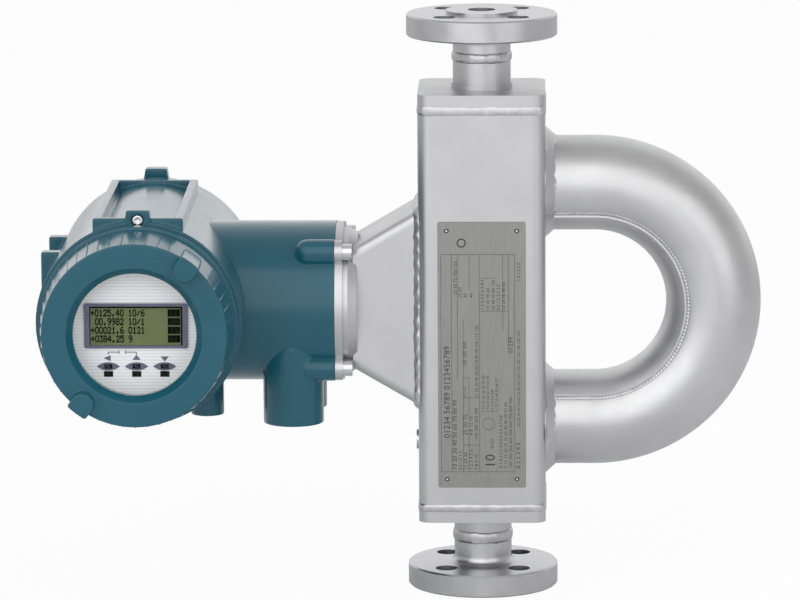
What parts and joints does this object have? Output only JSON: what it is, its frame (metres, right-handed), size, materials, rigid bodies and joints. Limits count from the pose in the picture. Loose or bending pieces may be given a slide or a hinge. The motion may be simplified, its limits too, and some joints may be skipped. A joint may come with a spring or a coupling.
{
  "type": "coriolis flow meter",
  "caption": "Flanged coriolis mass flow meter: bent measuring tubes in a looped steel housing, and a painted transmitter with a round display window on its side.",
  "frame": {"origin": "centre of the lower flange's sealing face, where it meets the pipeline", "axes": "+Z along the flow axis from the lower to the upper flange, +X towards the loop, -Y towards the display"},
  "size_m": [0.4541, 0.264, 0.37],
  "materials": {
    "stainless": "satin, glass-bead blasted stainless steel",
    "stainless_strip": "satin stainless steel strip with welded edges",
    "plate_metal": "matt etched stainless sheet",
    "fastener": "bright machined stainless steel",
    "tube_alloy": "drawn nickel alloy tube",
    "magnet": "nickel-plated magnet",
    "copper": "enamelled copper winding",
    "ceramic": "potted ceramic sensor",
    "teal_paint": "teal polyester coat on die-cast aluminium",
    "seal_rubber": "matt nitrile rubber",
    "window_glass": "clear toughened glass",
    "white_face": "white printed polycarbonate with fine lines",
    "slate_plastic": "slate grey moulded plastic",
    "lcd_glass": "olive liquid crystal panel",
    "black_plastic": "black infrared window",
    "case_plastic": "moulded dark grey plastic",
    "board": "green solder mask on glass fibre board",
    "plated_brass": "plated brass",
    "terminal_plastic": "green moulded terminal body",
    "epoxy": "cast epoxy feedthrough"
  },
  "bodies": {
    "root": {"lower_flange": "stainless", "upper_flange": "stainless", "inlet_splitter": "stainless", "outlet_splitter": "stainless", "sensor_box": "stainless", "lower_end_cap": "stainless", "upper_end_cap": "stainless", "loop_shell": "stainless", "loop_strip": "stainless_strip", "name_plate": "plate_metal", "plate_rivets": "fastener", "purge_plug": "fastener", "front_tube": "tube_alloy", "rear_tube": "tube_alloy", "tube_braces": "tube_alloy", "drive_coil": "copper", "drive_magnet": "magnet", "inlet_pickoff_coil": "copper", "inlet_pickoff_magnet": "magnet", "outlet_pickoff_coil": "copper", "outlet_pickoff_magnet": "magnet", "temperature_sensor": "ceramic", "adapter_shell": "stainless", "adapter_flange": "stainless", "adapter_seal": "seal_rubber", "adapter_screws": "fastener", "wire_feedthrough": "epoxy", "transmitter_housing": "teal_paint", "bulkhead_bushing": "epoxy", "front_lock_screw": "fastener", "rear_lock_screw": "fastener", "face_plate": "white_face", "lcd_bezel": "slate_plastic", "lcd_panel": "lcd_glass", "key_lenses": "slate_plastic", "key_windows": "black_plastic", "display_case": "case_plastic", "display_board": "board", "stand_offs": "plated_brass", "main_board": "board", "power_board": "board", "terminal_block": "terminal_plastic", "terminal_screws": "plated_brass", "ground_screw": "fastener"},
    "display_carrier": {"display_seal": "seal_rubber"},
    "display_cover_body": {"display_cover": "teal_paint", "window_glass": "window_glass", "window_ring": "fastener"},
    "terminal_carrier": {"terminal_seal": "seal_rubber"},
    "terminal_cover_body": {"terminal_cover": "teal_paint"}
  },
  "joints": [
    {"name": "display_cover_travel", "type": "slide", "parent": "root", "child": "display_carrier", "axis": [0, -1, 0], "range_m": [0, 0.014]},
    {"name": "display_cover_turn", "type": "hinge", "parent": "display_carrier", "child": "display_cover_body", "pos_m": [-0.212, -0.084, 0.185], "axis": [0, -1, 0], "range_deg": [0, 2520]},
    {"name": "terminal_cover_travel", "type": "slide", "parent": "root", "child": "terminal_carrier", "axis": [0, 1, 0], "range_m": [0, 0.014]},
    {"name": "terminal_cover_turn", "type": "hinge", "parent": "terminal_carrier", "child": "terminal_cover_body", "pos_m": [-0.212, 0.095, 0.185], "axis": [0, 1, 0], "range_deg": [0, 2520]}
  ],
  "couplings": [
    {"joint": "display_cover_travel", "follows": "display_cover_turn", "m_per_rad": 0.0003183},
    {"joint": "terminal_cover_travel", "follows": "terminal_cover_turn", "m_per_rad": 0.0003183}
  ]
}
